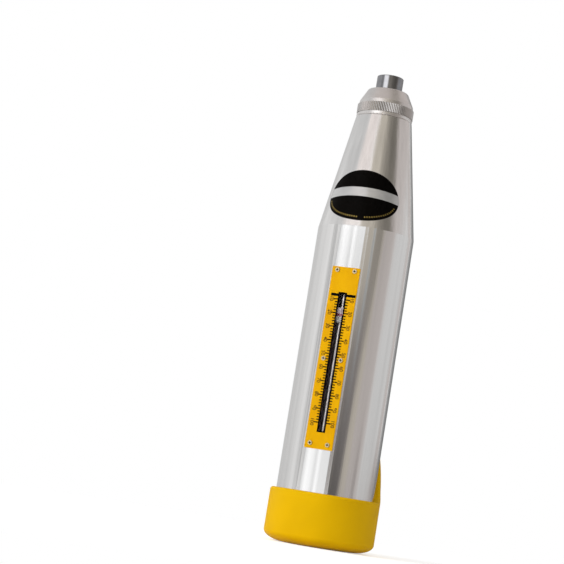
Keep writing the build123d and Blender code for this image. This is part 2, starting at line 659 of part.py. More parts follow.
def button_bush():
    shoulder = collar_top_y + SLIDE_CLEARANCE
    bush = back_post(BUSH_DIAMETER / 2, bush_y, bush_top, button_z)
    bush -= back_post(BUTTON_COLLAR_DIAMETER / 2 + SLIDE_CLEARANCE, bush_y, shoulder, button_z)
    return bush - back_post(BUTTON_KNOB_DIAMETER / 2 + SLIDE_CLEARANCE, shoulder, bush_top, button_z)


def button_spring():
    """Spring at its pressed length, so the collar never meets it."""
    pressed = BUTTON_SPRING_ROOM - BUTTON_TRAVEL - SPRING_CLEARANCE
    spring = coil(BUTTON_SPRING_DIAMETER, BUTTON_SPRING_WIRE, SPRING_CLEARANCE, pressed, BUTTON_SPRING_TURNS)
    return Pos(0, well_y, button_z) * Rot(-90, 0, 0) * spring


def rubber_boot():
    top = button_z + TONGUE_RISE
    reach = boot_back + CUT_MARGIN
    above = top + CUT_MARGIN
    flat_radius = boot_radius - BOOT_FOOT_ROUND
    foot = Line((0, 0), (flat_radius, 0))
    corner = EllipticalCenterArc(
        (flat_radius, BOOT_FOOT_RISE), BOOT_FOOT_ROUND, BOOT_FOOT_RISE, start_angle=270, arc_size=90)
    side = Polyline((boot_radius, BOOT_FOOT_RISE), (boot_radius, top), (0, top), (0, 0))
    cup = Pos(0, boot_shift, 0) * revolve(Plane.XZ * make_face(foot + corner + side), Axis.Z)
    cup -= turned(
        (0, BOOT_FLOOR), (boot_inner - TAIL_CHAMFER, BOOT_FLOOR), (boot_inner, BOOT_FLOOR + TAIL_CHAMFER),
        (boot_inner, top), (0, top),
    )
    side_view = make_face(Polyline(
        (0, -reach, BOOT_HEIGHT), (0, TONGUE_BASE, BOOT_HEIGHT), (0, TONGUE_TOP, top),
        (0, reach, top), (0, reach, above), (0, -reach, above), close=True))
    away = extrude(side_view, amount=reach, both=True)
    knee = away.edges().filter_by(Axis.X).filter_by_position(Axis.Y, TONGUE_BASE, TONGUE_BASE)
    away = fillet(knee, TONGUE_BASE_ROUND)
    brow = away.edges().filter_by(Axis.X).filter_by_position(Axis.Y, TONGUE_TOP, TONGUE_TOP)
    away = fillet(brow, TONGUE_TOP_ROUND)
    boot = cup - away

    def on_outer_rim(edge):
        middle = edge @ 0.5
        outside = math.hypot(middle.X, middle.Y) > boot_inner + BOOT_FRONT_WALL / 2
        return outside and middle.Z > BOOT_HEIGHT - BOOT_RIM_ROUND

    boot = fillet(boot.edges().filter_by(on_outer_rim), BOOT_RIM_ROUND)
    return boot - back_post(BUSH_DIAMETER / 2 + BOOT_HOLE_ROOM, bush_y, reach, button_z)


def name_label():
    """Oval that lies flat when the cone is rolled out."""
    middle = cone_z + LABEL_RISE
    low, high = middle - LABEL_HEIGHT, middle + LABEL_HEIGHT
    inner, outer = LABEL_CLEARANCE, LABEL_CLEARANCE + LABEL_THICKNESS
    skin = turned(
        (cone_radius(low) + inner, low), (cone_radius(low) + outer, low),
        (cone_radius(high) + outer, high), (cone_radius(high) + inner, high),
    )
    half_angle = math.atan((body_radius - nose_radius) / CONE_LENGTH)
    apex_z = cone_z + body_radius / math.tan(half_angle)
    middle_slant = cone_radius(middle) / math.sin(half_angle)
    corners = []
    for step in range(LABEL_POINTS):
        angle = 2 * math.pi * step / LABEL_POINTS
        across = LABEL_WIDTH / 2 * math.cos(angle)
        down = middle_slant - LABEL_HEIGHT / 2 * math.sin(angle)
        slant = math.hypot(across, down)
        turn = math.atan2(across, down) / math.sin(half_angle)
        x = slant * math.sin(half_angle) * math.sin(turn)
        corners.append((x, 0, apex_z - slant * math.cos(half_angle)))
    oval = make_face(Spline(*corners, periodic=True))
    label = skin & extrude(oval, amount=body_radius * 2, dir=(0, -1, 0))
    return Rot(0, 0, LABEL_TURN) * label


PIECES = [
    housing, front_cap, felt_seal, spring_seat, retaining_half_rings, impact_spring, plunger,
    buffer_spring, hammer_mass, guide_rod, guide_flange, hook, hook_pin, hook_spring, return_spring,
    tail_cover, zero_screw, zero_lock_nut, pointer_shaft, pointer_block, pointer_leaf, scale_plate,
    scale_window, scale_screws, lock_button, button_bush, button_spring, rubber_boot, name_label,
]

os.makedirs("parts", exist_ok=True)
for piece in PIECES:
    export_step(piece(), f"parts/{piece.__name__}.step")
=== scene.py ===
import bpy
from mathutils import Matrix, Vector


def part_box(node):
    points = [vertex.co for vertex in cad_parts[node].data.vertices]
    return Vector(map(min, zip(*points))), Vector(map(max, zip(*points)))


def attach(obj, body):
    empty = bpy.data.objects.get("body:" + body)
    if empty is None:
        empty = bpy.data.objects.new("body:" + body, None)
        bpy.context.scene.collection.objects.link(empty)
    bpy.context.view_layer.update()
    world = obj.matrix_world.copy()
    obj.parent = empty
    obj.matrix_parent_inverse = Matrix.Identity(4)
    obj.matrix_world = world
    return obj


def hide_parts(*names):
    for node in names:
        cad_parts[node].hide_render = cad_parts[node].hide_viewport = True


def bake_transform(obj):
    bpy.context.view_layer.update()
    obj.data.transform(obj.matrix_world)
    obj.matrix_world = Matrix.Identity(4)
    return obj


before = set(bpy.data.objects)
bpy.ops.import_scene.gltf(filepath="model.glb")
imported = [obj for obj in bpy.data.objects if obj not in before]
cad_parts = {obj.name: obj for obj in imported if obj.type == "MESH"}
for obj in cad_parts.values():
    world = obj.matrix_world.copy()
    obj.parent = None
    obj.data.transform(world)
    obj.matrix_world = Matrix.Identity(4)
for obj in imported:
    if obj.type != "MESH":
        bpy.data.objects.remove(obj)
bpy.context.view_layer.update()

import math

import bmesh
import bpy
from mathutils import Matrix, Vector

# Rebound hammer, in metres. Z runs along its axis, with the plunger on top, and the scale faces -Y.

# Camera, where the photograph was taken from
CAMERA_DISTANCE = 0.9002      # from the hammer's axis
CAMERA_HEIGHT = 0.0256
CAMERA_AZIMUTH = 16.51        # degrees to the right of the scale
CAMERA_HEADING = 19.192       # degrees to the left of +Y
CAMERA_PITCH = 7.318          # degrees upwards
CAMERA_ROLL = 9.32            # degrees anticlockwise
CAMERA_LENS = 103.74          # millimetres, as is the sensor's width
CAMERA_SENSOR = 36.0

# Studio
SOFT_LIGHT = 0.5              # light that falls on the hammer from all round
KEY_POWER = 20.0              # watts
KEY_SIZE = 1.2
KEY_PLACE = (-1.05, -1.5, 0.8)
FLOOR_RADIUS = 6.0
FLOOR_SEGMENTS = 64
FLOOR_DROP = 0.00003          # below the boot's foot
FLOOR_COLOUR = 0.9
FLOOR_GLOW = 0.5              # lifts the floor to the backdrop's white, and keeps its shadow
FLOOR_NEAR = 0.08             # distance from the axis where the floor starts to fade into the backdrop
FLOOR_FAR = 0.4               # and where it has gone

# Cards round the hammer that show only in reflections. A card spans a range of azimuths, in degrees to the
# right of the scale. It stands at a distance from the axis over a range of heights, or lies level over a
# range of distances, with its foot edge nearest the axis. Its glow is given at the left and right of its
# foot edge and of its head edge. Its sides and ends fade over shares of it. Its lean is how many degrees
# the two ends of its head edge are turned to the right.
NEUTRAL = (1.0, 1.0, 1.0)
WARM = (1.0, 0.92, 0.89)
SAND = (1.0, 0.92, 0.8)
COOL = (0.86, 0.94, 1.0)
CARD_STEPS = 40               # faces along each edge
CARDS = {
    "card_left": dict(
        tint=NEUTRAL, azimuth=(-180, -23), distance=1.65, height=(0.0, 2.4),
        foot_glow=(0.62, 0.6), head_glow=(0.6, 0.58), side_fade=(0, 0.03)),
    "card_left_panel": dict(
        tint=NEUTRAL, azimuth=(-140, -58), distance=1.5, height=(0.0, 0.85),
        foot_glow=(0.44, 0.82), head_glow=(0.82, 0.81), side_fade=(0.45, 0.13), end_fade=(0, 0.2)),
    "card_front": dict(
        tint=NEUTRAL, azimuth=(-30, 4), distance=1.68, height=(0.0, 0.84),
        foot_glow=(1.1, 0.8), head_glow=(0.86, 0.62)),
    "card_high": dict(
        tint=WARM, azimuth=(-54, 8), distance=1.5, height=(0.84, 2.4),
        foot_glow=(0.86, 0.78), head_glow=(0.76, 0.66), side_fade=(0.28, 0.35), end_fade=(0.05, 0)),
    "card_strip": dict(
        tint=NEUTRAL, azimuth=(-46, 8), distance=1.45, height=(0.49, 0.82),
        foot_glow=(2.5, 2.5), head_glow=(2.5, 2.5), side_fade=(0.3, 0.3), end_fade=(0.1, 0.15)),
    "card_grey": dict(
        tint=SAND, azimuth=(-8, 64), distance=1.6, height=(0.0, 2.4),
        foot_glow=(0.46, 0.46), head_glow=(0.64, 0.44), side_fade=(0.16, 0.1)),
    "card_low_dark": dict(
        tint=WARM, azimuth=(10, 49), lean=(16, 7), distance=1.4, height=(0.0, 0.36),
        foot_glow=(0.06, 0.1), head_glow=(0.26, 0.26), side_fade=(0.2, 0.2), end_fade=(0, 0.25)),
    "card_side_dark": dict(
        tint=SAND, azimuth=(32, 60), lean=(4, 4), distance=1.42, height=(0.26, 0.62),
        foot_glow=(0.27, 0.27), head_glow=(0.26, 0.26), side_fade=(0.4, 0.25), end_fade=(0.1, 0.2)),
    "card_left_edge": dict(
        tint=NEUTRAL, azimuth=(-69, -47), distance=1.55, height=(0.0, 0.5),
        foot_glow=(0.33, 0.33), head_glow=(0.26, 0.26), side_fade=(0.35, 0.3), end_fade=(0, 0.1)),
    "card_low_grey": dict(
        tint=WARM, azimuth=(-8, 16), distance=1.5, height=(0.0, 0.25),
        foot_glow=(0.26, 0.26), head_glow=(0.3, 0.3), side_fade=(0.3, 0.3), end_fade=(0, 0.5)),
    "card_thread": dict(
        tint=COOL, azimuth=(33, 38), distance=1.38, height=(0.16, 0.47),
        foot_glow=(0.42, 0.42), head_glow=(0.42, 0.42), side_fade=(0.35, 0.35), end_fade=(0.4, 0.1)),
    "card_shade": dict(
        tint=SAND, azimuth=(24, 60), distance=1.4, height=(0.47, 1.5),
        foot_glow=(0.42, 0.24), head_glow=(0.4, 0.1), side_fade=(0.4, 0), end_fade=(0.06, 0)),
    "card_dark": dict(
        tint=SAND, azimuth=(60, 93), distance=1.4, height=(0.47, 1.5),
        foot_glow=(0.24, 0.26), head_glow=(0.1, 0.14), side_fade=(0, 0.65), end_fade=(0.06, 0)),
    "card_right": dict(
        tint=WARM, azimuth=(50, 152), distance=1.65, height=(0.0, 2.4),
        foot_glow=(0.44, 0.5), head_glow=(0.56, 0.6)),
    "card_panel": dict(
        tint=NEUTRAL, azimuth=(84, 144), distance=1.5, height=(0.0, 0.86),
        foot_glow=(0.56, 0.58), head_glow=(0.68, 0.68), side_fade=(0.25, 0.15), end_fade=(0, 0.2)),
    "card_streak": dict(
        tint=WARM, azimuth=(72, 86), distance=1.46, height=(0.0, 0.16),
        foot_glow=(0.28, 0.28), head_glow=(0.3, 0.3), side_fade=(0.5, 0.5), end_fade=(0, 0.6)),
    "card_panel_foot": dict(
        tint=WARM, azimuth=(112, 176), distance=1.45, height=(0.0, 0.12),
        foot_glow=(0.5, 0.14), head_glow=(0.5, 0.14), side_fade=(0.5, 0.2), end_fade=(0, 0.6)),
    "card_edge": dict(
        tint=NEUTRAL, azimuth=(150, 196), distance=1.6, height=(0.0, 2.4),
        foot_glow=(0.32, 0.12), head_glow=(0.44, 0.24), side_fade=(0.2, 0)),
    "card_top": dict(
        tint=WARM, azimuth=(-180, 180), distance=(0.0, 1.7), height=2.4,
        foot_glow=(0.55, 0.55), head_glow=(0.55, 0.55)),
    "card_top_dark": dict(
        tint=SAND, azimuth=(22, 128), distance=(0.3, 1.65), height=2.38,
        foot_glow=(0.24, 0.24), head_glow=(0.24, 0.24), side_fade=(0.45, 0.45), end_fade=(0.2, 0.1)),
    "card_floor_dark": dict(
        tint=WARM, azimuth=(12, 49), distance=(0.06, 1.5), height=0.002,
        foot_glow=(0.08, 0.1), head_glow=(0.08, 0.1), side_fade=(0.2, 0.2)),
    "card_floor_right": dict(
        tint=WARM, azimuth=(42, 140), distance=(0.06, 1.5), height=0.001,
        foot_glow=(0.36, 0.4), head_glow=(0.36, 0.4), side_fade=(0.05, 0.1)),
    "card_floor_back": dict(
        tint=NEUTRAL, azimuth=(148, 206), distance=(0.06, 1.5), height=0.002,
        foot_glow=(0.3, 0.5), head_glow=(0.3, 0.5), side_fade=(0.3, 0.3)),
    "card_floor_left": dict(
        tint=NEUTRAL, azimuth=(-140, -58), distance=(0.06, 1.5), height=0.001,
        foot_glow=(0.5, 0.7), head_glow=(0.5, 0.7), side_fade=(0.15, 0.4)),
}

# Finishes
PATTERN_LOW = 0.3             # middle range of a cloudy pattern
PATTERN_HIGH = 0.7
FACE_MARGIN = 0.00003         # what lies this near a face counts as on it

# Print on the scale plate
INK = 0.00003                 # how far print stands proud of its face
ZERO_MARK = 0.1412            # height of reading 0
SCALE_UNIT = 0.00075          # height of one unit
FIRST_MARK = 10
LAST_MARK = 100
TICK_STEP = 2                 # units between ticks
NUMBER_STEP = 10              # units between numbers
PRINT_MIDDLE = 0.00015        # the print sits this far right of the plate's middle
TICK_LENGTH = 0.0013
LONG_TICK_LENGTH = 0.0024
TICK_WIDTH = 0.00065
NUMERAL_SIZE = 0.0028
NUMERAL_WEIGHT = 0.00003      # thickens their strokes
NUMERAL_PLACE = 0.0058        # from the print's middle
SLOT_HALF_WIDTH = 0.0017
SLOT_FOOT = 0.0618
SLOT_HEAD = 0.1369
BORDER_HALF_WIDTH = 0.0024
BORDER_END = 0.0008           # width of the border's two ends
BAR_PLACE = 0.13605           # height of the bar across the slot's head
BAR_WIDTH = 0.0015
BAR_LEFT = -0.0063
BAR_RIGHT = 0.0076

# Pointer
POINTER_READING = 21          # at rest
POINTER_LINE_WIDTH = 0.0015

# Painted reflection bands on the milled flat, and painted shade inside the case and in the screws' recesses
INNER_RADIUS = 0.0255         # what is nearer the axis is the inside, painted dark as shade
FLAT_LEFT = -0.0082           # along X
FLAT_RIGHT = 0.0074
# Painted reflection bands across the flat, darker at its left edge: share across the flat, and grey
FLAT_REFLECTION_BANDS = ((0.0, 206), (0.25, 255), (0.36, 248), (0.5, 228), (0.6, 254), (0.72, 231), (1.0, 229))
RECESS_SHADE_DEPTH = 0.0003         # in a screw's head, where painted shade darkens its recess

# Plunger's tip
DOME_HEIGHT = 0.00115
SATIN = 0.24                  # how much rougher the dome is

# Knurl on the cap
KNURL_FOOT = 0.2432
KNURL_HEAD = 0.2483

# Label, a flat oval wrapped round the cone
BODY_RADIUS = 0.027
NOSE_RADIUS = 0.0159
CONE_FOOT = 0.175
CONE_HEAD = 0.2407
LABEL_MIDDLE = 0.1927
LABEL_TURN = 2.5              # degrees to the right of the scale
LABEL_HALF_WIDTH = 0.0222
LABEL_HALF_HEIGHT = 0.01475
LABEL_FACE = 0.00022          # its face above the cone
BAND_FOOT = -0.00065          # from the label's middle
BAND_HEAD = 0.00465
BAND_ROWS = 8                 # faces up the band
BAND_COLUMNS = 48             # faces along the band
DASH_INSET = 0.0024           # dashed line inside the label's edge
DASH_WIDTH = 0.0009
DASH_LENGTH = 0.0006
DASH_GAP = 0.0007
DASH_GROUPS = ((192, 271), (281, 343))  # degrees round the label


def rgb(red, green, blue):
    """Linear colour from the usual 0 to 255 values."""
    def linear(value):
        share = value / 255
        return share / 12.92 if share <= 0.04045 else ((share + 0.055) / 1.055) ** 2.4
    return (linear(red), linear(green), linear(blue), 1.0)


class Nodes:
    """A node tree that is filled by short calls."""

    def __init__(self, tree):
        self.tree = tree

    def node(self, kind, inputs=None, **settings):
        """A new node with its settings, and with a value or a link on each of these inputs."""
        made = self.tree.nodes.new(kind)
        for setting, value in settings.items():
            setattr(made, setting, value)
        for socket, value in (inputs or {}).items():
            if isinstance(value, bpy.types.NodeSocket):
                self.tree.links.new(value, made.inputs[socket])
            else:
                made.inputs[socket].default_value = value
        return made

    def output(self, kind, inputs=None, **settings):
        """First output of a new node."""
        return self.node(kind, inputs, **settings).outputs[0]

    def math(self, operation, *values):
        """A value worked out from numbers or links."""
        return self.output("ShaderNodeMath", dict(enumerate(values)), operation=operation)


class Finish(Nodes):
    """A procedural material whose patterns stay with the piece."""

    # Sockets of a mix node that take and give colours
    FIRST_COLOUR = 6
    SECOND_COLOUR = 7
    MIXED_COLOUR = 2

    def __init__(self, name, **sockets):
        self.material = bpy.data.materials.new(name)
        self.material.use_nodes = True
        super().__init__(self.material.node_tree)
        self.shader = self.tree.nodes["Principled BSDF"]
        self.place = self.node("ShaderNodeTexCoord").outputs["Object"]
        self.normal = None
        for socket, value in sockets.items():
            self.shader.inputs[socket.replace("_", " ")].default_value = value

    def noise(self, per_metre, detail=3.0):
        """Cloudy pattern with so many spots per metre along X, Y and Z."""
        stretched = self.output("ShaderNodeMapping", {"Vector": self.place, "Scale": per_metre})
        return self.output("ShaderNodeTexNoise", {"Vector": stretched, "Scale": 1.0, "Detail": detail})

    def along(self, axis):
        """Place on the piece along X, Y or Z."""
        return self.node("ShaderNodeSeparateXYZ", {"Vector": self.place}).outputs[axis]

    def radius(self):
        """Distance from the hammer's axis."""
        squares = [self.math("POWER", self.along(axis), 2.0) for axis in ("X", "Y")]
        return self.math("POWER", self.math("ADD", *squares), 0.5)

    def beyond(self, axis, limit):
        """1 beyond a limit along an axis, 0 before it."""
        return self.math("GREATER_THAN", self.along(axis), limit)

    def between(self, axis, low, high):
        """1 between two limits along an axis, 0 elsewhere."""
        return self.math("COMPARE", self.along(axis), (low + high) / 2, (high - low) / 2)

    def spread(self, pattern, low, high):
        """A pattern's middle range stretched between two values."""
        return self.output("ShaderNodeMapRange", {
            "Value": pattern, "From Min": PATTERN_LOW, "From Max": PATTERN_HIGH,
            "To Min": low, "To Max": high})

    def mix(self, share, first, second):
        """Two colours mixed by a share of the second."""
        inputs = {"Factor": share, self.FIRST_COLOUR: first, self.SECOND_COLOUR: second}
        return self.node("ShaderNodeMix", inputs, data_type="RGBA").outputs[self.MIXED_COLOUR]

    def shades(self, pattern, first, second):
        """Two colours mixed by a pattern."""
        return self.mix(self.spread(pattern, 0.0, 1.0), first, second)

    def bands(self, axis, low, high, stops):
        """Greys blended along an axis between two limits."""
        place = self.output("ShaderNodeMapRange", {
            "Value": self.along(axis), "From Min": low, "From Max": high})
        ramp = self.node("ShaderNodeValToRGB", {"Fac": place})
        ramp.color_ramp.interpolation = "EASE"
        while len(ramp.color_ramp.elements) < len(stops):
            ramp.color_ramp.elements.new(1.0)
        for element, (share, grey) in zip(ramp.color_ramp.elements, stops):
            element.position = share
            element.color = rgb(grey, grey, grey)
        return ramp.outputs[0]

    def feed(self, socket, value):
        """Links a value to one of the shader's own sockets."""
        self.tree.links.new(value, self.shader.inputs[socket])

    def colour(self, value):
        self.feed("Base Color", value)

    def mottled(self, pattern, first, second):
        self.colour(self.shades(pattern, first, second))

    def roughness(self, pattern, low, high):
        self.feed("Roughness", self.spread(pattern, low, high))

    def relief(self, pattern, depth):
        """Raises a pattern on the surface, over any relief that is there already."""
        inputs = {"Height": pattern, "Distance": depth, "Strength": 1.0}
        if self.normal:
            inputs["Normal"] = self.normal
        self.normal = self.output("ShaderNodeBump", inputs)
        self.feed("Normal", self.normal)


def satin_aluminium():
    """Drawn along the axis, with soft streaks and fine lines, painted reflection bands on the milled flat,
    and painted shade inside.
    """
    finish = Finish("satin_aluminium")
    streaks = finish.noise((260, 260, 3))
    lines = finish.noise((2600, 2600, 30))
    drawn = finish.shades(streaks, rgb(232, 231, 230), rgb(248, 247, 246))
    # Painted reflection: bright and darker bands across the milled flat
    painted_flat_reflection = finish.bands("X", FLAT_LEFT, FLAT_RIGHT, FLAT_REFLECTION_BANDS)
    body = finish.between("Z", 0.0, CONE_FOOT)
    flat_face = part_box("scale_plate")[1][1]
    on_face = finish.between("Y", flat_face - FACE_MARGIN, flat_face + FACE_MARGIN)
    outside = finish.mix(finish.math("MULTIPLY", on_face, body), drawn, painted_flat_reflection)
    # Painted shade: the inside of the case is coloured dark and made non-metallic
    bore = finish.math("LESS_THAN", finish.radius(), INNER_RADIUS)
    painted_inside_shade = finish.math("MULTIPLY", bore, body)
    finish.colour(finish.mix(painted_inside_shade, outside, rgb(124, 98, 100)))
    finish.feed("Metallic", finish.math("SUBTRACT", 1.0, painted_inside_shade))
    finish.roughness(lines, 0.12, 0.18)
    finish.relief(streaks, 0.00012)
    finish.relief(lines, 0.000002)
    return finish.material


def turned_aluminium():
    """Turned on a lathe, with fine rings round the axis, and painted shade that darkens the knurl."""
    finish = Finish("turned_aluminium", Metallic=1.0)
    rings = finish.noise((60, 60, 5200))
    cloud = finish.noise((220, 220, 220))
    smooth = finish.shades(cloud, rgb(225, 222, 220), rgb(237, 234, 232))
    # Painted shade: the knurl is coloured darker than the smooth cap
    painted_knurl_shade = finish.shades(cloud, rgb(206, 203, 201), rgb(216, 213, 211))
    finish.colour(finish.mix(finish.between("Z", KNURL_FOOT, KNURL_HEAD), smooth, painted_knurl_shade))
    finish.roughness(rings, 0.3, 0.4)
    finish.relief(rings, 0.000004)
    return finish.material


def polished_steel():
    """Ground and polished, with a satin striking face at the plunger's tip."""
    finish = Finish("polished_steel", Metallic=1.0)
    rings = finish.noise((50, 50, 4200))
    cloud = finish.noise((300, 300, 300))
    finish.mottled(cloud, rgb(137, 137, 140), rgb(153, 153, 156))
    dome = finish.beyond("Z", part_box("plunger")[1][2] - DOME_HEIGHT)
    satin = finish.math("MULTIPLY", dome, SATIN)
    finish.feed("Roughness", finish.math("ADD", finish.spread(rings, 0.07, 0.12), satin))
    finish.relief(rings, 0.000001)
    return finish.material


def pale_steel():
    """Plated rod."""
    finish = Finish("pale_steel", Metallic=0.75)
    rings = finish.noise((80, 80, 3000))
    finish.mottled(rings, rgb(236, 228, 226), rgb(244, 238, 236))
    finish.roughness(rings, 0.26, 0.32)
    return finish.material


def machined_steel():
    """Turned steel of the pieces inside the case."""
    finish = Finish("machined_steel", Metallic=1.0)
    rings = finish.noise((80, 80, 3600))
    cloud = finish.noise((240, 240, 240))
    finish.mottled(cloud, rgb(140, 140, 142), rgb(168, 168, 170))
    finish.roughness(rings, 0.28, 0.4)
    finish.relief(rings, 0.000003)
    return finish.material


def spring_wire():
    """Dark oiled spring steel."""
    finish = Finish("spring_wire", Metallic=1.0)
    cloud = finish.noise((900, 900, 900))
    finish.mottled(cloud, rgb(96, 95, 96), rgb(128, 126, 126))
    finish.roughness(cloud, 0.3, 0.45)
    return finish.material


def nickel():
    """Nickel plate."""
    finish = Finish("nickel_plate", Metallic=1.0)
    cloud = finish.noise((1800, 1800, 1800))
    finish.mottled(cloud, rgb(222, 210, 192), rgb(240, 232, 220))
    finish.roughness(cloud, 0.18, 0.3)
    return finish.material


def screw_nickel():
    """Nickel heads, with painted shade in their recesses."""
    finish = Finish("screw_nickel", Metallic=0.8)
    cloud = finish.noise((1800, 1800, 1800))
    head = finish.shades(cloud, rgb(214, 196, 154), rgb(236, 220, 184))
    # Painted shade: the recess in each head is coloured near black
    painted_recess_shade = finish.beyond("Y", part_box("scale_screws")[0][1] + RECESS_SHADE_DEPTH)
    finish.colour(finish.mix(painted_recess_shade, head, rgb(34, 28, 20)))
    finish.roughness(cloud, 0.3, 0.42)
    return finish.material


def plate_enamel():
    """Yellow stoving enamel with a faint orange peel, and painted shade, near black, on the slot's walls.
    """
    finish = Finish("plate_enamel", Specular_IOR_Level=0.03)
    cloud = finish.noise((140, 140, 60))
    peel = finish.noise((2400, 2400, 2400), detail=1.0)
    yellow = finish.shades(cloud, rgb(234, 169, 1), rgb(244, 183, 3))
    # Painted shade: the slot's walls are coloured near black
    half_width = SLOT_HALF_WIDTH + FACE_MARGIN
    across = finish.between("X", -half_width, half_width)
    along = finish.between("Z", SLOT_FOOT - FACE_MARGIN, SLOT_HEAD + FACE_MARGIN)
    finish.colour(finish.mix(finish.math("MULTIPLY", across, along), yellow, rgb(24, 18, 8)))
    finish.roughness(cloud, 0.36, 0.46)
    finish.relief(peel, 0.000006)
    return finish.material


def boot_rubber():
    """Yellow moulded rubber, slightly cloudy, with a fine matt grain."""
    finish = Finish("boot_rubber", Specular_IOR_Level=0.03)
    cloud = finish.noise((60, 60, 60), detail=1.0)
    grain = finish.noise((5200, 5200, 5200), detail=2.0)
    finish.mottled(cloud, rgb(236, 185, 2), rgb(242, 191, 4))
    finish.roughness(cloud, 0.48, 0.6)
    finish.relief(grain, 0.000012)
    return finish.material


def black_print():
    """Black ink."""
    finish = Finish("black_print", Specular_IOR_Level=0.03)
    cloud = finish.noise((700, 700, 700))
    finish.mottled(cloud, rgb(4, 3, 2), rgb(9, 7, 6))
    finish.roughness(cloud, 0.3, 0.42)
    return finish.material


def numeral_ink():
    """Thin brown-black ink."""
    finish = Finish("numeral_ink", Specular_IOR_Level=0.12)
    cloud = finish.noise((1500, 1500, 1500))
    finish.mottled(cloud, rgb(62, 36, 4), rgb(88, 54, 6))
    finish.roughness(cloud, 0.4, 0.5)
    return finish.material


def silver_print():
    """Silver ink."""
    finish = Finish("silver_print", Metallic=0.6)
    cloud = finish.noise((120, 120, 120), detail=1.0)
    finish.mottled(cloud, rgb(198, 198, 197), rgb(208, 208, 207))
    finish.roughness(cloud, 0.16, 0.2)
    return finish.material


def gold_print():
    """Dull gold ink."""
    finish = Finish("gold_print", Metallic=0.6)
    cloud = finish.noise((900, 900, 900))
    finish.mottled(cloud, rgb(140, 118, 56), rgb(158, 136, 70))
    finish.roughness(cloud, 0.32, 0.42)
    return finish.material


def pointer_enamel():
    """White above the pointer's line and light grey below it."""
    finish = Finish("pointer_enamel")
    cloud = finish.noise((600, 600, 600))
    white = finish.shades(cloud, rgb(186, 170, 180), rgb(196, 182, 190))
    grey = finish.shades(cloud, rgb(162, 160, 158), rgb(174, 172, 170))
    finish.colour(finish.mix(finish.beyond("Z", mark_height(POINTER_READING)), grey, white))
    finish.roughness(cloud, 0.3, 0.4)
    return finish.material


def red_enamel():
    """Dark red of the pointer's line."""
    finish = Finish("red_enamel")
    cloud = finish.noise((900, 900, 900))
    finish.mottled(cloud, rgb(124, 52, 76), rgb(138, 62, 86))
    finish.roughness(cloud, 0.32, 0.42)
    return finish.material


def clear_plastic():
    """Clear window with faint rubbing marks."""
    finish = Finish("clear_plastic", Transmission_Weight=1.0, IOR=1.2)
    scuffs = finish.noise((400, 400, 40))
    finish.mottled(scuffs, (0.96, 0.96, 0.95, 1.0), (0.99, 0.99, 0.99, 1.0))
    finish.roughness(scuffs, 0.0, 0.03)
    return finish.material


def felt():
    """Grey-brown felt with loose fibres."""
    finish = Finish("felt", Sheen_Weight=0.4)
    fibres = finish.noise((3000, 3000, 3000), detail=5.0)
    finish.mottled(fibres, rgb(92, 88, 80), rgb(128, 122, 112))
    finish.roughness(fibres, 0.85, 1.0)
    finish.relief(fibres, 0.0001)
    return finish.material


def dress_nodes():
    """Gives every piece of the frame its finish."""
    finishes = {
        satin_aluminium: ["housing", "tail_cover"],
        turned_aluminium: ["front_cap"],
        polished_steel: ["plunger", "guide_rod", "lock_button"],
        pale_steel: ["pointer_shaft"],
        machined_steel: [
            "spring_seat", "retaining_half_rings", "hammer_mass", "guide_flange", "hook", "hook_pin",
            "zero_screw", "zero_lock_nut",
        ],
        spring_wire: [
            "impact_spring", "buffer_spring", "hook_spring", "return_spring", "button_spring",
            "pointer_leaf",
        ],
        nickel: ["button_bush"],
        screw_nickel: ["scale_screws"],
        plate_enamel: ["scale_plate"],
        boot_rubber: ["rubber_boot"],
        black_print: ["name_label"],
        pointer_enamel: ["pointer_block"],
        clear_plastic: ["scale_window"],
        felt: ["felt_seal"],
    }
    for make, names in finishes.items():
        material = make()
        for name in names:
            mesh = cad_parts[name].data
            mesh.materials.clear()
            mesh.materials.append(material)


def add_object(name, data):
    """A new object in the scene."""
    made = bpy.data.objects.new(name, data)
    bpy.context.scene.collection.objects.link(made)
    return made


def add_mesh(name, shape, material):
    """Turns a bmesh into an object of one material."""
    mesh = bpy.data.meshes.new(name)
    shape.to_mesh(mesh)
    shape.free()
    mesh.materials.append(material)
    return add_object(name, mesh)


def add_piece(name, shape, material, body):
    """Turns a bmesh into a piece that moves with a body."""
    bmesh.ops.recalc_face_normals(shape, faces=shape.faces)
    piece = add_mesh(name, shape, material)
    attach(piece, body)
    return piece


def fill_grid(shape, grid):
    """Faces between rows of points."""
    for lower, upper in zip(grid, grid[1:]):
        for step in range(len(lower) - 1):
            shape.faces.new((lower[step], lower[step + 1], upper[step + 1], upper[step]))


def buffer_coil():
    """Buffer spring, with its foot on the guide rod and its head on the plunger, copied into a piece of its
    own in place of the frame's part, which is hidden.
    """
    coil = add_object("buffer_coil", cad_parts["buffer_spring"].data.copy())
    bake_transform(coil)
    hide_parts("buffer_spring")


def print_block(shape, x_limits, z_limits, face):
    """A printed rectangle that stands proud of a face towards -Y."""
    middle = [sum(x_limits) / 2, face, sum(z_limits) / 2]
    size = [x_limits[1] - x_limits[0], 2 * INK, z_limits[1] - z_limits[0]]
    place = Matrix.Translation(middle) @ Matrix.Diagonal((*size, 1.0))
    bmesh.ops.create_cube(shape, size=1.0, matrix=place)


def stroke(middle, width):
    """Limits of a printed line."""
    return (middle - width / 2, middle + width / 2)


def mark_height(reading):
    """Height of a reading on the scale."""
    return ZERO_MARK - reading * SCALE_UNIT


def scale_ticks(face, ink):
    """Ticks on both sides of the slot, with a longer one at each number."""
    shape = bmesh.new()
    for reading in range(FIRST_MARK, LAST_MARK + 1, TICK_STEP):
        length = TICK_LENGTH if reading % NUMBER_STEP else LONG_TICK_LENGTH
        for side in (-1, 1):
            start = PRINT_MIDDLE + side * BORDER_HALF_WIDTH
            end = start + side * length
            print_block(shape, sorted((start, end)), stroke(mark_height(reading), TICK_WIDTH), face)
    add_piece("scale_ticks", shape, ink, "case")


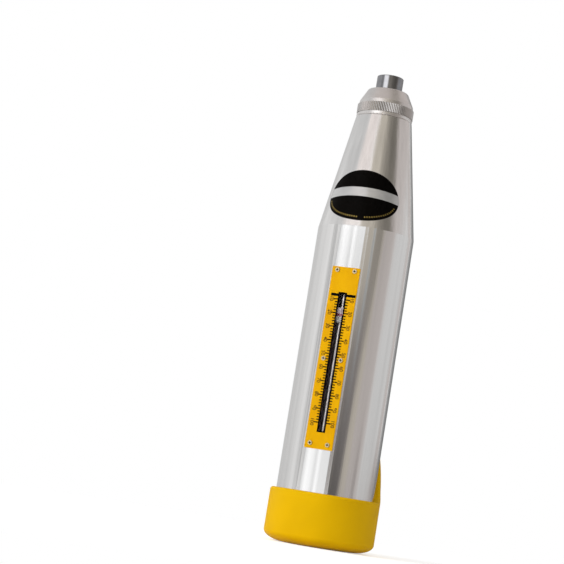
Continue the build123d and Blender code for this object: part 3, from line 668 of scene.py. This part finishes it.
def scale_border(face, ink):
    """Frame round the slot, with a bar across its head."""
    shape = bmesh.new()
    inner = SLOT_HALF_WIDTH
    left = PRINT_MIDDLE - BORDER_HALF_WIDTH
    right = PRINT_MIDDLE + BORDER_HALF_WIDTH
    foot = SLOT_FOOT - BORDER_END
    head = SLOT_HEAD + BORDER_END
    print_block(shape, (left, -inner), (foot, head), face)
    print_block(shape, (inner, right), (foot, head), face)
    print_block(shape, (-inner, inner), (foot, SLOT_FOOT), face)
    print_block(shape, (-inner, inner), (SLOT_HEAD, head), face)
    bar = stroke(BAR_PLACE, BAR_WIDTH)
    print_block(shape, (BAR_LEFT, left), bar, face)
    print_block(shape, (right, BAR_RIGHT), bar, face)
    add_piece("scale_border", shape, ink, "case")


def scale_numerals(face, ink):
    """Plain numbers beside the long ticks, read from the plunger's end downwards."""
    shape = bmesh.new()
    downwards = Matrix(((0, 1, 0, 0), (0, 0, -1, 0), (-1, 0, 0, 0), (0, 0, 0, 1)))
    for reading in range(FIRST_MARK, LAST_MARK + 1, NUMBER_STEP):
        text = bpy.data.curves.new("numeral", "FONT")
        text.body = str(reading)
        text.size = NUMERAL_SIZE
        text.align_x = "CENTER"
        text.align_y = "CENTER"
        text.extrude = INK
        text.offset = NUMERAL_WEIGHT
        holder = bpy.data.objects.new("numeral", text)
        outline = bpy.data.meshes.new_from_object(holder)
        for side in (-1, 1):
            number = outline.copy()
            place = Matrix.Translation((PRINT_MIDDLE + side * NUMERAL_PLACE, face, mark_height(reading)))
            number.transform(place @ downwards)
            shape.from_mesh(number)
    add_piece("scale_numerals", shape, ink, "case")


def pointer_line():
    """Red line across the pointer, at its reading."""
    shape = bmesh.new()
    low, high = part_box("pointer_block")
    line = stroke(mark_height(POINTER_READING), POINTER_LINE_WIDTH)
    print_block(shape, (low[0], high[0]), line, low[1])
    add_piece("pointer_line", shape, red_enamel(), "pointer")


def on_label(across, up):
    """Point on the label's face, from a place on the flat label, measured from its middle."""
    half_angle = math.atan((BODY_RADIUS - NOSE_RADIUS) / (CONE_HEAD - CONE_FOOT))
    apex = CONE_FOOT + BODY_RADIUS / math.tan(half_angle)
    down = (apex - LABEL_MIDDLE) / math.cos(half_angle) - up
    slant = math.hypot(across, down)
    turn = math.atan2(across, down) / math.sin(half_angle) + math.radians(LABEL_TURN)
    radius = slant * math.sin(half_angle) + LABEL_FACE
    return Vector((radius * math.sin(turn), -radius * math.cos(turn), apex - slant * math.cos(half_angle)))


def wrapped(name, strips, material):
    """Printed strips on the label, each through rows of points, with their own thickness."""
    shape = bmesh.new()
    for rows in strips:
        fill_grid(shape, [[shape.verts.new(on_label(*point)) for point in row] for row in rows])
    piece = add_piece(name, shape, material, "case")
    thick = piece.modifiers.new("thickness", "SOLIDIFY")
    thick.thickness = 2 * INK
    thick.offset = 0.0


def label_band():
    """Silver band across the label."""
    rows = []
    for level in range(BAND_ROWS + 1):
        up = BAND_FOOT + (BAND_HEAD - BAND_FOOT) * level / BAND_ROWS
        reach = LABEL_HALF_WIDTH * math.sqrt(1 - (up / LABEL_HALF_HEIGHT) ** 2)
        rows.append([(reach * (2 * step / BAND_COLUMNS - 1), up) for step in range(BAND_COLUMNS + 1)])
    wrapped("label_band", [rows], silver_print())


def label_dashes():
    """Dashed gold line inside the label's lower edge, in two groups."""
    across = LABEL_HALF_WIDTH - DASH_INSET
    up = LABEL_HALF_HEIGHT - DASH_INSET
    dashes = []
    for start, end in DASH_GROUPS:
        angle = math.radians(start)
        while angle < math.radians(end):
            per_metre = 1 / math.hypot(across * math.sin(angle), up * math.cos(angle))
            stop = angle + DASH_LENGTH * per_metre
            dashes.append([
                [((across + rise) * math.cos(turn), (up + rise) * math.sin(turn)) for turn in (angle, stop)]
                for rise in (0.0, DASH_WIDTH)
            ])
            angle = stop + DASH_GAP * per_metre
    wrapped("label_dashes", dashes, gold_print())


def studio_material(name):
    """An empty material for the studio, and its nodes."""
    material = bpy.data.materials.new(name)
    material.use_nodes = True
    material.node_tree.nodes.clear()
    return material, Nodes(material.node_tree)


def seen_rays(nodes):
    """1 for rays that show the backdrop: straight, mirrored or through glass."""
    path = nodes.node("ShaderNodeLightPath").outputs
    straight_or_mirrored = nodes.math("MAXIMUM", path["Is Camera Ray"], path["Is Glossy Ray"])
    return nodes.math("MAXIMUM", straight_or_mirrored, path["Is Transmission Ray"])


def build_world():
    """White surroundings that light the hammer softly."""
    world = bpy.data.worlds.new("studio")
    bpy.context.scene.world = world
    world.use_nodes = True
    nodes = Nodes(world.node_tree)
    strength = nodes.output("ShaderNodeMapRange", {
        "Value": seen_rays(nodes), "To Min": SOFT_LIGHT, "To Max": 1.0})
    background = nodes.tree.nodes["Background"]
    background.inputs["Color"].default_value = (1.0, 1.0, 1.0, 1.0)
    nodes.tree.links.new(strength, background.inputs["Strength"])


def floor_material():
    """Dull white near the hammer, where its shadow falls, and the backdrop's white farther out."""
    material, nodes = studio_material("floor")
    seen = seen_rays(nodes)
    dull = nodes.output("ShaderNodeBsdfDiffuse", {"Color": (FLOOR_COLOUR, FLOOR_COLOUR, FLOOR_COLOUR, 1.0)})
    glow = nodes.output("ShaderNodeEmission", {"Strength": nodes.math("MULTIPLY", seen, FLOOR_GLOW)})
    white = nodes.output("ShaderNodeEmission")
    near = nodes.output("ShaderNodeAddShader", {0: dull, 1: glow})
    far = nodes.output("ShaderNodeMixShader", {0: seen, 1: dull, 2: white})
    place = nodes.node("ShaderNodeTexCoord").outputs["Object"]
    distance = nodes.node("ShaderNodeVectorMath", {0: place}, operation="LENGTH").outputs["Value"]
    limits = {"Value": distance, "From Min": FLOOR_NEAR, "From Max": FLOOR_FAR}
    fade = nodes.output("ShaderNodeMapRange", limits, interpolation_type="SMOOTHSTEP")
    whole = nodes.output("ShaderNodeMixShader", {0: fade, 1: near, 2: far})
    nodes.node("ShaderNodeOutputMaterial", {"Surface": whole})
    return material


def build_floor():
    """White floor that fades into the backdrop and keeps the hammer's shadow."""
    shape = bmesh.new()
    bmesh.ops.create_circle(shape, cap_ends=True, segments=FLOOR_SEGMENTS, radius=FLOOR_RADIUS)
    floor = add_mesh("floor", shape, floor_material())
    floor.location.z = -FLOOR_DROP


def card_material(name, tint):
    """Glow by the card's own brightness, see-through where it fades."""
    material, nodes = studio_material(name)
    brightness = nodes.node("ShaderNodeAttribute", attribute_name="brightness").outputs["Fac"]
    cover = nodes.node("ShaderNodeAttribute", attribute_name="cover").outputs["Fac"]
    glow = nodes.output("ShaderNodeEmission", {"Color": (*tint, 1.0), "Strength": brightness})
    clear = nodes.output("ShaderNodeBsdfTransparent")
    shown = nodes.output("ShaderNodeMixShader", {0: cover, 1: clear, 2: glow})
    nodes.node("ShaderNodeOutputMaterial", {"Surface": shown})
    return material


def both_ends(value):
    """The two ends of a range, from the range or from one value that it keeps."""
    return value if isinstance(value, tuple) else (value, value)


def soft_ends(place, fades):
    """How much of a card shows at a place along it, where its two ends fade over these shares."""
    first, last = fades
    rise = min(1.0, place / first) if first else 1.0
    fall = min(1.0, (1 - place) / last) if last else 1.0
    share = rise * fall
    return share * share * (3 - 2 * share)


def build_card(name, tint, azimuth, distance, height, foot_glow, head_glow,
               side_fade=(0, 0), end_fade=(0, 0), lean=(0, 0)):
    """A graded card, bent round the hammer, that only reflections show."""
    near, far = both_ends(distance)
    foot, head = both_ends(height)
    left_foot, right_foot = (
        Vector((turn, near, foot, glow)) for turn, glow in zip(azimuth, foot_glow))
    left_head, right_head = (
        Vector((turn + more, far, head, glow)) for turn, more, glow in zip(azimuth, lean, head_glow))
    shape = bmesh.new()
    brightness = shape.verts.layers.float.new("brightness")
    cover = shape.verts.layers.float.new("cover")
    grid = []
    for row in range(CARD_STEPS + 1):
        up = row / CARD_STEPS
        left = left_foot.lerp(left_head, up)
        right = right_foot.lerp(right_head, up)
        points = []
        for column in range(CARD_STEPS + 1):
            across = column / CARD_STEPS
            degrees, radius, level, glow = left.lerp(right, across)
            turn = math.radians(degrees)
            point = shape.verts.new((radius * math.sin(turn), -radius * math.cos(turn), level))
            point[brightness] = glow
            point[cover] = soft_ends(across, side_fade) * soft_ends(up, end_fade)
            points.append(point)
        grid.append(points)
    fill_grid(shape, grid)
    card = add_mesh(name, shape, card_material(name, tint))
    card.visible_camera = False
    card.visible_diffuse = False
    card.visible_transmission = False
    card.visible_shadow = False


def build_key_light():
    """Large soft light at the left front."""
    light = bpy.data.lights.new("key", "AREA")
    light.energy = KEY_POWER
    light.size = KEY_SIZE
    lamp = add_object("key", light)
    lamp.location = KEY_PLACE
    lamp.rotation_euler = (-Vector(KEY_PLACE)).to_track_quat("-Z", "Y").to_euler()
    lamp.visible_glossy = False


def build_camera():
    """Camera in the photograph's place."""
    camera = bpy.data.cameras.new("camera")
    camera.lens = CAMERA_LENS
    camera.sensor_width = CAMERA_SENSOR
    holder = add_object("camera", camera)
    azimuth = math.radians(CAMERA_AZIMUTH)
    place = Vector((math.sin(azimuth), -math.cos(azimuth), 0)) * CAMERA_DISTANCE
    place.z = CAMERA_HEIGHT
    holder.matrix_world = (
        Matrix.Translation(place)
        @ Matrix.Rotation(math.radians(CAMERA_HEADING), 4, "Z")
        @ Matrix.Rotation(math.radians(90 + CAMERA_PITCH), 4, "X")
        @ Matrix.Rotation(math.radians(CAMERA_ROLL), 4, "Z")
    )
    bpy.context.scene.camera = holder


def dress_scale():
    """Print on the scale plate, and the pointer's line."""
    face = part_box("scale_plate")[0][1]
    ink = black_print()
    scale_ticks(face, ink)
    scale_border(face, ink)
    scale_numerals(face, numeral_ink())
    pointer_line()


def dress_label():
    """Print on the label."""
    label_band()
    label_dashes()


build_camera()
build_world()
build_floor()
for name, card in CARDS.items():
    build_card(name, **card)
build_key_light()
dress_nodes()
buffer_coil()
dress_scale()
dress_label()
bpy.context.scene.view_settings.view_transform = "Standard"
